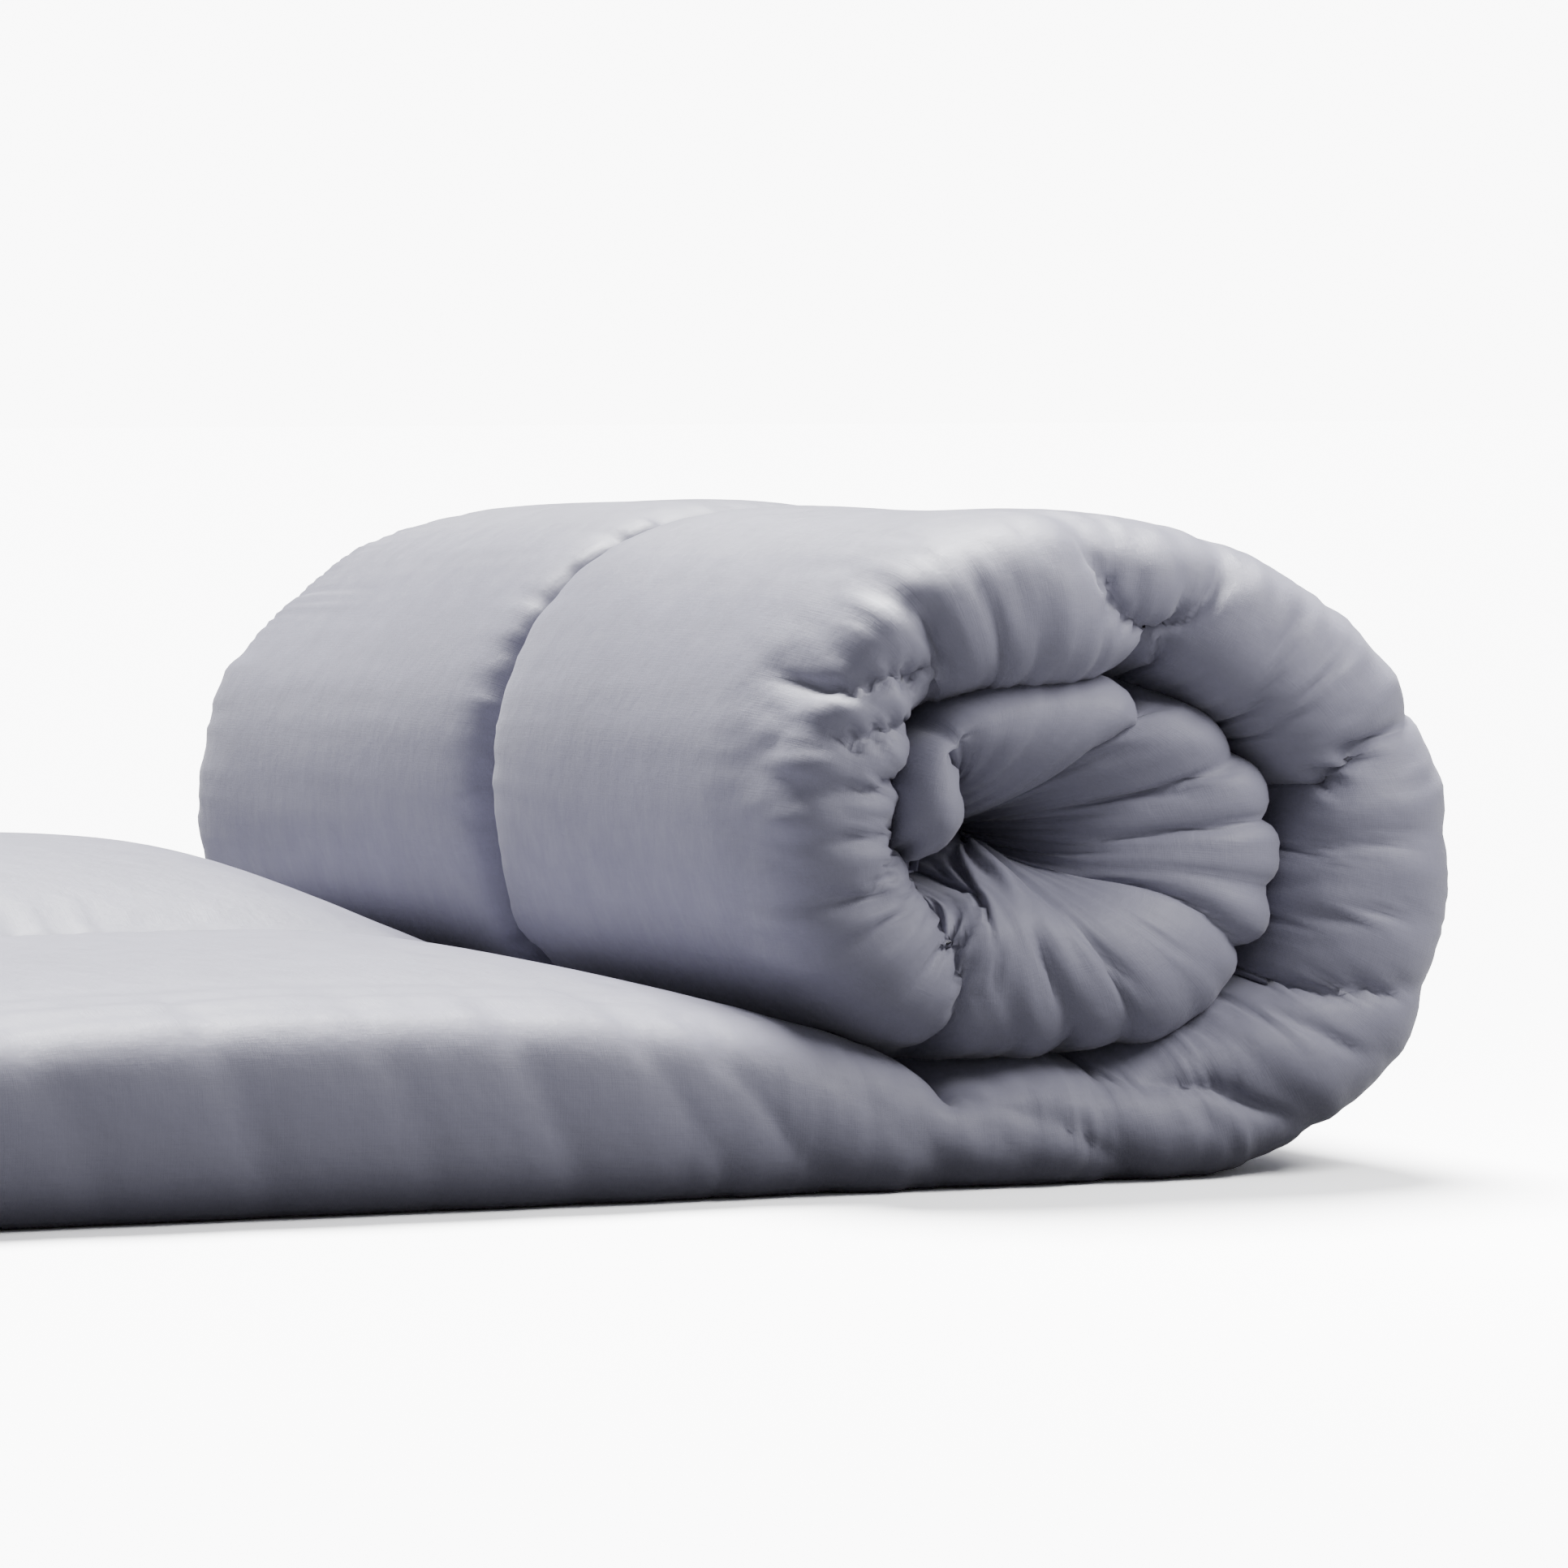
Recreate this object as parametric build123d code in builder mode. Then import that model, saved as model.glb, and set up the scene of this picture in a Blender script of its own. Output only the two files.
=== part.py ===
"""A double duvet, folded in half lengthwise and rolled up from one end.

The folded strip is followed from its free foot end, flat on the ground, through the
turns of the roll to its head end in the middle of the roll. Every piece keeps the same
place in the strip's section, so each is one section carried along that route.

X runs along the flat tongue towards the roll, Y from the folded edge to the open edges,
and Z up. The origin is the middle of the underside of the whole duvet's box.
"""
from build123d import *
import math
import os
from collections import namedtuple

# The duvet open and flat, in mm
DUVET_WIDTH = 2000.0
DUVET_LENGTH = 2200.0

# The folded strip: two filled halves, one over the other
ROLL_LAYER = 80.0       # thickness of the strip inside the roll
TONGUE_LAYER = 120.0    # thickness of the strip where it lies free
HALF_SPACING = 0.5      # from the strip's middle to the near face of either half

# The roll
ROLL_HEIGHT = 347.0
TURN_GAP = 1.0          # clearance between one turn and the next
RADIUS_LOW_RIGHT = 138.0
RADIUS_TOP_LEFT = 130.0
TOP_FLAT = 51.0         # straight run over the top of the roll
TIP_TURN = 40.0         # degrees that the last, innermost bend turns
GROUND_FLAT = 140.0     # run at full roll thickness before the first bend
EASE_RUN = 140.0        # run in which the tongue thins to the roll thickness

# Sewing and cloth
FABRIC = 0.4            # thickness of either panel
FILL_GAP = 0.1          # clearance between a panel and the fill
PLY_STACK = 0.8         # from the middle of a seam to the outside of a panel
CROWN = 60.0            # width over which a channel rounds down to its seam
SEAM_HALF_WIDTH = 1.0   # flat part of a quilting seam, each side of its stitches
SEAM_CLEAR = 5.0        # from a seam to the fill beside it
HEM = 12.0              # width of the hem round the duvet's four edges
HEM_GAP = 0.2           # clearance between the hem and the panels
THREAD_WIDTH = 0.8
THREAD_HEIGHT = 0.25
THREAD_GAP = 0.05
HEM_FULLNESS = 0.4      # how far a panel still stands above its seam beside an end hem
FOOT_TAPER = 90.0       # run in which the tongue rises from its hem to full thickness
HEAD_TAPER = 55.0       # run in which the innermost end thins to its hem
FILL_START = 0.15       # part of a taper that stays without fill, beside the hem
HEM_LIFT = 1.5          # the foot hem's height above the ground

# Care label, sewn into the upper side hem near the foot end
LABEL_WIDTH = 38.0
LABEL_DROP = 58.0
LABEL_THICKNESS = 0.6
LABEL_FROM_FOOT = 260.0

# Folding takes up this much of the width on the way round the folded edge
FOLD_TAKE_UP = (math.pi / 2 - 1) * ROLL_LAYER / 2
STRIP_WIDTH = DUVET_WIDTH / 2 - FOLD_TAKE_UP
QUILT_SEAM = DUVET_WIDTH / 4 - FOLD_TAKE_UP
PANEL_EDGE = STRIP_WIDTH - HEM

# Half thicknesses: top is the outside of a half, low its near face
Thickness = namedtuple("Thickness", "top low")
ROLLED = Thickness(ROLL_LAYER / 2, HALF_SPACING)
FREE = Thickness(TONGUE_LAYER / 2, HALF_SPACING)
HEMMED = Thickness(9.0, 9.0 - 2 * (PLY_STACK + HEM_FULLNESS))

# Bends of the roll, from the ground up: later turns share the centres of the first
RADIUS_HIGH_RIGHT = ROLL_HEIGHT - ROLL_LAYER - RADIUS_LOW_RIGHT
TURN_PITCH = ROLL_LAYER + TURN_GAP
RADIUS_TURN_IN = RADIUS_LOW_RIGHT + RADIUS_HIGH_RIGHT - RADIUS_TOP_LEFT - TURN_PITCH
UNDER_FLAT = RADIUS_HIGH_RIGHT + TOP_FLAT + RADIUS_TOP_LEFT - RADIUS_TURN_IN - RADIUS_LOW_RIGHT
Bend = namedtuple("Bend", "radius angle")
Run = namedtuple("Run", "length")
ROLL_ROUTE = [
    Run(GROUND_FLAT),
    Bend(RADIUS_LOW_RIGHT, 90),
    Bend(RADIUS_HIGH_RIGHT, 90),
    Run(TOP_FLAT),
    Bend(RADIUS_TOP_LEFT, 90),
    Bend(RADIUS_TURN_IN, 90),
    Run(UNDER_FLAT),
    Bend(RADIUS_LOW_RIGHT - TURN_PITCH, 90),
    Bend(RADIUS_HIGH_RIGHT - TURN_PITCH, 90),
    Run(TOP_FLAT),
    Bend(RADIUS_TOP_LEFT - TURN_PITCH, TIP_TURN),
]


def route_length(step):
    """Length of one step of the route along the middle of the strip."""
    if isinstance(step, Run):
        return step.length
    return step.radius * math.radians(step.angle)


ROLLED_LENGTH = sum(route_length(step) for step in ROLL_ROUTE) + HEAD_TAPER + HEM

# Rolling takes up length too: the cloth keeps its length on a line halfway between the
# strip's middle and its outside, and gathers up inside that line
ROLL_TURN = sum(step.angle for step in ROLL_ROUTE if isinstance(step, Bend))
ROLL_TAKE_UP = math.radians(ROLL_TURN) * ROLL_LAYER / 4
TONGUE_LENGTH = DUVET_LENGTH - ROLLED_LENGTH - ROLL_TAKE_UP
RIGHT_REACH = GROUND_FLAT + RADIUS_LOW_RIGHT + ROLL_LAYER / 2
FOOT_X = -(TONGUE_LENGTH + RIGHT_REACH) / 2
ROLL_START_X = FOOT_X + TONGUE_LENGTH
FOLD_Y = -STRIP_WIDTH / 2

Station = namedtuple("Station", "x z heading thickness")


def station_plane(station):
    """Section plane of the strip: local x runs from the fold, local y out of the roll."""
    heading = math.radians(station.heading)
    return Plane(
        origin=(station.x, FOLD_Y, station.z),
        x_dir=(0, 1, 0),
        z_dir=(-math.cos(heading), 0, -math.sin(heading)),
    )


def blend(first, second, part):
    """Thickness that is the given part of the way from the first to the second."""
    top = first.top + part * (second.top - first.top)
    low = first.low + part * (second.low - first.low)
    return Thickness(top, low)


def rounded(part):
    """How far a filled edge has risen at a part of its run, as a quarter ellipse."""
    return math.sqrt(1 - (1 - part) ** 2)


def ground_station(from_foot, thickness, lift=0.0):
    """Station of the tongue, whose underside lies on the ground or a lift above it."""
    return Station(FOOT_X + from_foot, thickness.top + lift, 0.0, thickness)


def foot_station(part):
    """Station in the foot taper, at a part of its length from the hem."""
    thickness = blend(HEMMED, FREE, rounded(part))
    return ground_station(HEM + part * FOOT_TAPER, thickness, HEM_LIFT * (1 - rounded(part)))


def route_stations():
    """The station at the start of every step of the roll, and the one at its end."""
    x = ROLL_START_X
    z = ROLLED.top
    heading = 0.0
    stations = [Station(x, z, heading, ROLLED)]
    for step in ROLL_ROUTE:
        start = math.radians(heading)
        if isinstance(step, Run):
            x += step.length * math.cos(start)
            z += step.length * math.sin(start)
        else:
            end = start + math.radians(step.angle)
            x += step.radius * (math.sin(end) - math.sin(start))
            z += step.radius * (math.cos(start) - math.cos(end))
            heading += step.angle
        stations.append(Station(x, z, heading, ROLLED))
    return stations


ROUTE_STATIONS = route_stations()
ROUTE_END = ROUTE_STATIONS[-1]


def head_station(part):
    """Station in the head taper, at a part of its length from the hem."""
    run = HEAD_TAPER * (1 - part)
    heading = math.radians(ROUTE_END.heading)
    x = ROUTE_END.x + run * math.cos(heading)
    z = ROUTE_END.z + run * math.sin(heading)
    return Station(x, z, ROUTE_END.heading, blend(HEMMED, ROLLED, rounded(part)))


def seam_level(thickness, side_of_seam):
    """Height of a seam in a half, on its outside (+1), middle (0) or near side (-1)."""
    return (thickness.top + thickness.low) / 2 + side_of_seam * PLY_STACK


def crown_down(start, end, high, level):
    """Points from a channel's flat face at start down to its seam at end."""
    points = []
    for part in (0.0, 0.6, 1.0):
        drop = 1 - math.sqrt(1 - part**2)
        points.append((start + part * (end - start), high + drop * (level - high)))
    return points


def panel_side(thickness, high, level):
    """Points of a panel's face over one half, from the fold to the hem."""
    points = [(thickness.top, high)]
    points += crown_down(QUILT_SEAM - CROWN, QUILT_SEAM - SEAM_HALF_WIDTH, high, level)
    points += reversed(crown_down(QUILT_SEAM + CROWN, QUILT_SEAM + SEAM_HALF_WIDTH, high, level))
    points += crown_down(PANEL_EDGE - CROWN, PANEL_EDGE, high, level)
    return points


def mirrored(points):
    """The same points in the other half of the strip."""
    return [(x, -y) for x, y in points]


def band_outline(thickness, outer, inner, outer_radius, inner_radius):
    """Closed outline of a layer that goes over one half, round the fold and under."""
    centre = thickness.top
    with BuildLine() as outline:
        Polyline(*outer)
        ThreePointArc((centre, outer_radius), (centre - outer_radius, 0), (centre, -outer_radius))
        Polyline(*mirrored(outer))
        Line(mirrored(outer)[-1], mirrored(inner)[-1])
        Polyline(*mirrored(inner))
        ThreePointArc((centre, -inner_radius), (centre - inner_radius, 0), (centre, inner_radius))
        Polyline(*inner)
        Line(inner[-1], outer[-1])
    return outline.line


def face_panel_outline(thickness):
    """The panel on the outside of the folded strip."""
    outside = panel_side(thickness, thickness.top, seam_level(thickness, 1))
    inside_high = thickness.top - FABRIC
    inside = panel_side(thickness, inside_high, seam_level(thickness, 1) - FABRIC)
    return band_outline(thickness, outside, inside, thickness.top, inside_high)


def back_panel_outline(thickness):
    """The panel on the inside of the folded strip, creased sharply at the fold."""
    fill_side_high = thickness.low + FABRIC
    fill_side = panel_side(thickness, fill_side_high, seam_level(thickness, -1) + FABRIC)
    near_side = panel_side(thickness, thickness.low, seam_level(thickness, -1))
    return band_outline(thickness, fill_side, near_side, fill_side_high, thickness.low)


def fill_faces(thickness):
    """Heights of the outer and near faces of the fill in a half, and of its pinched edge."""
    high = thickness.top - FABRIC - FILL_GAP
    low = thickness.low + FABRIC + FILL_GAP
    middle = seam_level(thickness, 0)
    pinch = min(0.2, (high - low) / 4)
    return high, low, middle + pinch, middle - pinch


def middle_fill_outline(thickness):
    """Fill of the wide channel that wraps round the fold."""
    high, low, pinch_high, pinch_low = fill_faces(thickness)
    end = QUILT_SEAM - SEAM_CLEAR
    outer = [(thickness.top, high)] + crown_down(end - CROWN, end, high, pinch_high)
    inner = [(thickness.top, low)] + crown_down(end - CROWN, end, low, pinch_low)
    return band_outline(thickness, outer, inner, high, low)


def side_fill_outline(half):
    """Fill of the channel between a quilting seam and the side hem of one half."""

    def outline_at(thickness):
        high, low, pinch_high, pinch_low = fill_faces(thickness)
        start = QUILT_SEAM + SEAM_CLEAR
        end = PANEL_EDGE - SEAM_CLEAR
        over = list(reversed(crown_down(start + CROWN, start, high, pinch_high)))
        over += crown_down(end - CROWN, end, high, pinch_high)
        under = list(reversed(crown_down(end - CROWN, end, low, pinch_low)))
        under += crown_down(start + CROWN, start, low, pinch_low)
        with BuildLine() as outline:
            Polyline(*[(x, half * y) for x, y in over + under], close=True)
        return outline.line

    return outline_at


def strip_outline(half, start, end, side_of_seam, near, far):
    """A flat strip beside a seam's middle or outside, from start to end across the width."""

    def outline_at(thickness):
        level = seam_level(thickness, side_of_seam)
        corners = [(start, level + near), (end, level + near), (end, level + far), (start, level + far)]
        with BuildLine() as outline:
            Polyline(*[(x, half * y) for x, y in corners], close=True)
        return outline.line

    return outline_at


def thread_outlines(half, across):
    """The needle and bobbin threads of one row of stitches, on the two sides of a seam."""
    start = across - THREAD_WIDTH / 2
    end = across + THREAD_WIDTH / 2
    far = THREAD_GAP + THREAD_HEIGHT
    return [
        strip_outline(half, start, end, 1, THREAD_GAP, far),
        strip_outline(half, start, end, -1, -far, -THREAD_GAP),
    ]


def end_strip_outline(near, far):
    """A flat strip across the whole width at a hemmed end, round the fold."""
    low = seam_level(HEMMED, 0) + near
    high = seam_level(HEMMED, 0) + far
    outer = [(HEMMED.top, high), (STRIP_WIDTH, high)]
    inner = [(HEMMED.top, low), (STRIP_WIDTH, low)]
    return band_outline(HEMMED, outer, inner, high, low)


def along_strip(outlines, filled=False):
    """Carry each outline from the foot hem along the tongue and the roll to the head hem."""
    taper_parts = [0.0, FILL_START, 0.5, 1.0]
    if filled:
        taper_parts = taper_parts[1:]
    ease_start = ground_station(TONGUE_LENGTH - EASE_RUN, FREE)
    tongue = [foot_station(part) for part in taper_parts] + [ease_start, ROUTE_STATIONS[0]]
    head = [head_station(part) for part in reversed(taper_parts)]
    with BuildPart() as strip:
        for outline_at in outlines:
            for first, second in list(zip(tongue, tongue[1:])) + list(zip(head, head[1:])):
                for station in (first, second):
                    with BuildSketch(station_plane(station)):
                        make_face(outline_at(station.thickness).edges())
                loft(ruled=True, clean=False)
            for step, station in zip(ROLL_ROUTE, ROUTE_STATIONS):
                with BuildSketch(station_plane(station)):
                    make_face(outline_at(station.thickness).edges())
                if isinstance(step, Run):
                    extrude(amount=-step.length, clean=False)
                else:
                    heading = math.radians(station.heading)
                    centre_x = station.x - step.radius * math.sin(heading)
                    centre_z = station.z + step.radius * math.cos(heading)
                    bend_axis = Axis((centre_x, 0, centre_z), (0, -1, 0))
                    revolve(axis=bend_axis, revolution_arc=step.angle, clean=False)
    return strip


def end_hem(station, outward):
    """Hem across one end of the duvet, outward from the last station of the panels."""
    plane = station_plane(station)
    with BuildPart() as hem:
        with BuildSketch(plane.offset(outward * HEM_GAP)):
            make_face(end_strip_outline(-PLY_STACK, PLY_STACK).edges())
        extrude(amount=outward * (HEM - HEM_GAP))
    return hem


def end_stitches(station, outward):
    """Two rows of topstitching on both faces of an end hem."""
    plane = station_plane(station)
    near = PLY_STACK + THREAD_GAP
    far = near + THREAD_HEIGHT
    with BuildPart() as stitches:
        for row in (1, 2):
            with BuildSketch(plane.offset(outward * row * HEM / 3)):
                make_face(end_strip_outline(near, far).edges())
                make_face(end_strip_outline(-far, -near).edges())
            extrude(amount=outward * THREAD_WIDTH)
    return stitches


def save(piece, name):
    """Label a finished piece and write it as a STEP file of the same name."""
    piece.part.label = name
    export_step(piece.part, f"parts/{name}.step")


os.makedirs("parts", exist_ok=True)

face_panel = along_strip([face_panel_outline])
save(face_panel, "face_fabric_panel")

back_panel = along_strip([back_panel_outline])
save(back_panel, "back_fabric_panel")

middle_fill = along_strip([middle_fill_outline], filled=True)
save(middle_fill, "fill_middle_channel")

HALVES = {"outer": 1, "inner": -1}
side_topstitch_outlines = []
for half_name, half in HALVES.items():
    side_fill = along_strip([side_fill_outline(half)], filled=True)
    save(side_fill, f"fill_{half_name}_side_channel")

    quilting = along_strip(thread_outlines(half, QUILT_SEAM))
    save(quilting, f"quilting_thread_{half_name}_half")

    side_hem = along_strip(
        [strip_outline(half, PANEL_EDGE + HEM_GAP, STRIP_WIDTH, 0, -PLY_STACK, PLY_STACK)]
    )
    save(side_hem, f"side_hem_{half_name}_half")

    for row in (1, 2):
        side_topstitch_outlines += thread_outlines(half, PANEL_EDGE + row * HEM / 3)

foot_hem = end_hem(foot_station(0.0), 1)
save(foot_hem, "foot_end_hem")

head_hem = end_hem(head_station(0.0), -1)
save(head_hem, "head_end_hem")

side_topstitch = along_strip(side_topstitch_outlines)
save(side_topstitch, "side_hem_topstitching")

foot_topstitch = end_stitches(foot_station(0.0), 1)
head_topstitch = end_stitches(head_station(0.0), -1)
with BuildPart() as end_topstitch:
    add(foot_topstitch.part)
    add(head_topstitch.part)
save(end_topstitch, "end_hem_topstitching")

label_y = FOLD_Y + STRIP_WIDTH + HEM_GAP + LABEL_THICKNESS / 2
with BuildPart() as care_label:
    label_centre = (FOOT_X + LABEL_FROM_FOOT, label_y, TONGUE_LAYER / 2 + seam_level(FREE, 0))
    with Locations(label_centre):
        Box(LABEL_WIDTH, LABEL_THICKNESS, LABEL_DROP, align=(Align.CENTER, Align.CENTER, Align.MAX))
    fillet(care_label.edges().filter_by(Axis.Y).group_by(Axis.Z)[0], radius=4)
save(care_label, "care_label")
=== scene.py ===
"""A double duvet, folded in half lengthwise and rolled up from one end.

The face panel is one sheet of cloth on a grid. s runs along the duvet, from its free foot
end to the end in the middle of the roll, and w across it, from the folded edge (0) to the
open edges (1 on the outer half, -1 on the inner half). The grid is first laid over the
filled strip's own shape, then a cloth solver gives the cloth its cut size back, so that
it gathers wherever the strip is bent or sewn. Sizes are in metres, except in the tables
that say millimetres.
"""
import math
import bpy
import numpy as np
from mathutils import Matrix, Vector


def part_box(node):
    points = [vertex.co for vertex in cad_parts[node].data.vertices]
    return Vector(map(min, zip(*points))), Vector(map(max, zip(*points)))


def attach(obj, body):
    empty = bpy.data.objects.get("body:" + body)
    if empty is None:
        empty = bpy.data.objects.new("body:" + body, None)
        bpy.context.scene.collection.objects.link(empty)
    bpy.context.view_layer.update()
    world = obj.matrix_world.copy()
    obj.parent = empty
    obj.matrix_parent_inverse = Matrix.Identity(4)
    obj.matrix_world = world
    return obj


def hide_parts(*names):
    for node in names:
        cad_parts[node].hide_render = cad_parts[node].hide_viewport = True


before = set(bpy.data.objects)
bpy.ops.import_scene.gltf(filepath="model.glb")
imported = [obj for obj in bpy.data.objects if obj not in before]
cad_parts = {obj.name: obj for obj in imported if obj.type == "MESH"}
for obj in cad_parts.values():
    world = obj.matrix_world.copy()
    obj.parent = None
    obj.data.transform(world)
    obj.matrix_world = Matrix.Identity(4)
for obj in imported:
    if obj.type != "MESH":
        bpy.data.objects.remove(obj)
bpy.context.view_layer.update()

# The CAD model's own places
PANEL_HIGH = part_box("face_fabric_panel")[1]
STRIP_LOW, STRIP_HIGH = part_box("foot_end_hem")
FOLD_Y = STRIP_LOW[1]
STRIP_WIDTH = STRIP_HIGH[1] - STRIP_LOW[1]
ROLL_X = PANEL_HIGH[0] - 0.198      # the roll's own zero, near its middle
HEM = 0.012                         # width of a hem

# Cut size of half the width and of the length
HALF_WIDTH = 1.0
CUT_LENGTH = 2.2
QUILT_SEAM = 0.49       # from the folded edge to a quilting seam

SEED = 7

# ---------------------------------------------------------------- the strip's shape
# Section of the rolled strip at the folded edge, in millimetres, as points (x, z) whose x is
# measured from ROLL_X.
# The tongue lies on the ground: each line is x, then the underside and the top.
TONGUE = [
    (-784, 4, 10),
    (-772, 0, 40),
    (-745, 0, 78),
    (-690, 0, 102),
    (-600, 0, 109),
    (-500, 0, 112),
    (-400, 0, 112),
    (-310, 0, 108),
    (-230, 0, 96),
    (-165, 0, 78),
    (-110, 0, 63),
    (-50, 0, 60),
]
# The roll: each line is a point on the strip's outside, then the one on its inside
ROLL = [
    ((10, 0), (-5, 67)),
    ((72, 6), (40, 76)),
    ((128, 30), (72, 94)),
    ((173, 66), (90, 117)),
    ((190, 115), (99, 148)),
    ((194, 180), (103, 185)),
    ((181, 238), (92, 214)),
    ((136, 288), (70, 240)),
    ((70, 330), (35, 260)),
    ((0, 346), (-10, 264)),
    ((-62, 343), (-50, 263)),
    ((-118, 323), (-85, 256)),
    ((-160, 283), (-110, 235)),
    ((-184, 235), (-121, 207)),
    ((-189, 185), (-118, 180)),
    ((-181, 137), (-108, 160)),
    ((-156, 96), (-98, 150)),
    ((-112, 70), (-86, 152)),
    ((-60, 66), (-74, 162)),
    ((-9, 70), (-62, 171)),
    ((43, 79), (-52, 175)),
    ((84, 108), (-46, 177)),
    ((99, 148), (-43, 179)),
    ((101, 188), (-44, 182)),
    ((78, 230), (-48, 185)),
    ((34, 258), (-56, 188)),
    ((-26, 261), (-66, 191)),
    ((-72, 257), (-74, 200)),
    ((-104, 243), (-80, 206)),
    ((-120, 215), (-83, 203)),
    ((-123, 192), (-84, 190)),
    ((-118, 172), (-90, 173)),
    ((-107, 160), (-102, 161)),
]
TURN_IN = 17            # the line of ROLL where the second turn starts
LAST_QUARTER = 22       # the line where the innermost part starts
FOLD_DEPTH = 0.050      # how far the folded edge rounds over, along the strip's width
FOLD_CLOTH = 0.085      # cloth from the middle of the fold to the flat of either half
ROLL_SQUARE = 0.78      # below 1, the fold is flatter in front and tighter at its shoulders
TONGUE_SQUARE = 0.45    # the same for the tongue, in its lower half
TONGUE_TOP_SQUARE = 0.62        # and in its upper half
TONGUE_RIDGE = 0.17     # share of the tongue's height that it still gains behind its ridge
# Long shallow folds on top of the tongue, beside its ridge: w, depth and width
TONGUE_FOLDS = [(0.070, 0.0040, 0.010), (0.096, 0.0030, 0.010), (0.122, 0.0022, 0.012)]
FOLD_WAVE = 0.004       # how far those folds wander
BACK_EASE = 0.20        # width over which the back panel eases off from its own fold
BACK_GAP = 0.0006       # from the middle of the strip to the back panel
AXIS_HEIGHT = 0.170     # height of the roll's axis
INNER_LEAN = 0.040      # how far the innermost part leans back towards the hole
SEAM_LEVEL = 0.34       # height of a seam, as a share of the strip's half thickness
SEAM_NEAR = 0.018       # width over which a channel rounds down to a quilting seam,
SEAM_FAR = 0.013        # on the side of the fold and on the side of the open edges
HEM_ROUND = 0.045       # width over which a channel rounds down to a hem
LUMPS = 0.0020          # how unevenly the fill lies
EDGE_FROM = 0.86        # the open edges wander from this w on
EDGE_WAVE = 0.0060      # how far the open edges wander through the strip's thickness
EDGE_SWAY = 0.0050      # how far they wander in and out
EDGE_SAG = 0.42         # how far they sag on the ground, as a share of the half thickness
END_LEAN = 0.050        # how far the duvet's end curls back into the hole
BACK_LOFT = 0.034       # the tongue's side channel stands this much higher than its middle

# Where the filling has settled or bunched up: the middle (x, distance from the fold, z),
# how far the surface goes in, and the reach along each axis
SETTLED = [
    ((-0.150, 0.92, 0.285), 0.032, (0.105, 0.34, 0.090)),
    ((-0.200, 0.95, 0.170), 0.014, (0.080, 0.35, 0.070)),
    ((-0.185, 0.50, 0.150), 0.007, (0.070, 0.16, 0.090)),
    ((-0.005, 0.62, 0.345), 0.005, (0.110, 0.15, 0.060)),
    ((0.000, 0.27, 0.345), 0.010, (0.110, 0.20, 0.060)),
    ((-0.060, 0.96, 0.345), 0.022, (0.110, 0.26, 0.060)),
]
# Hollows and swellings of the second turn's front: the middle (x, z), how far it goes back,
# and its reach
HOLLOWS = [
    ((-0.040, 0.176), 0.085, 0.024),
    ((-0.030, 0.225), 0.010, 0.036),
    ((0.030, 0.205), 0.012, 0.030),
    ((-0.103, 0.195), -0.014, 0.024),
]

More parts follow.
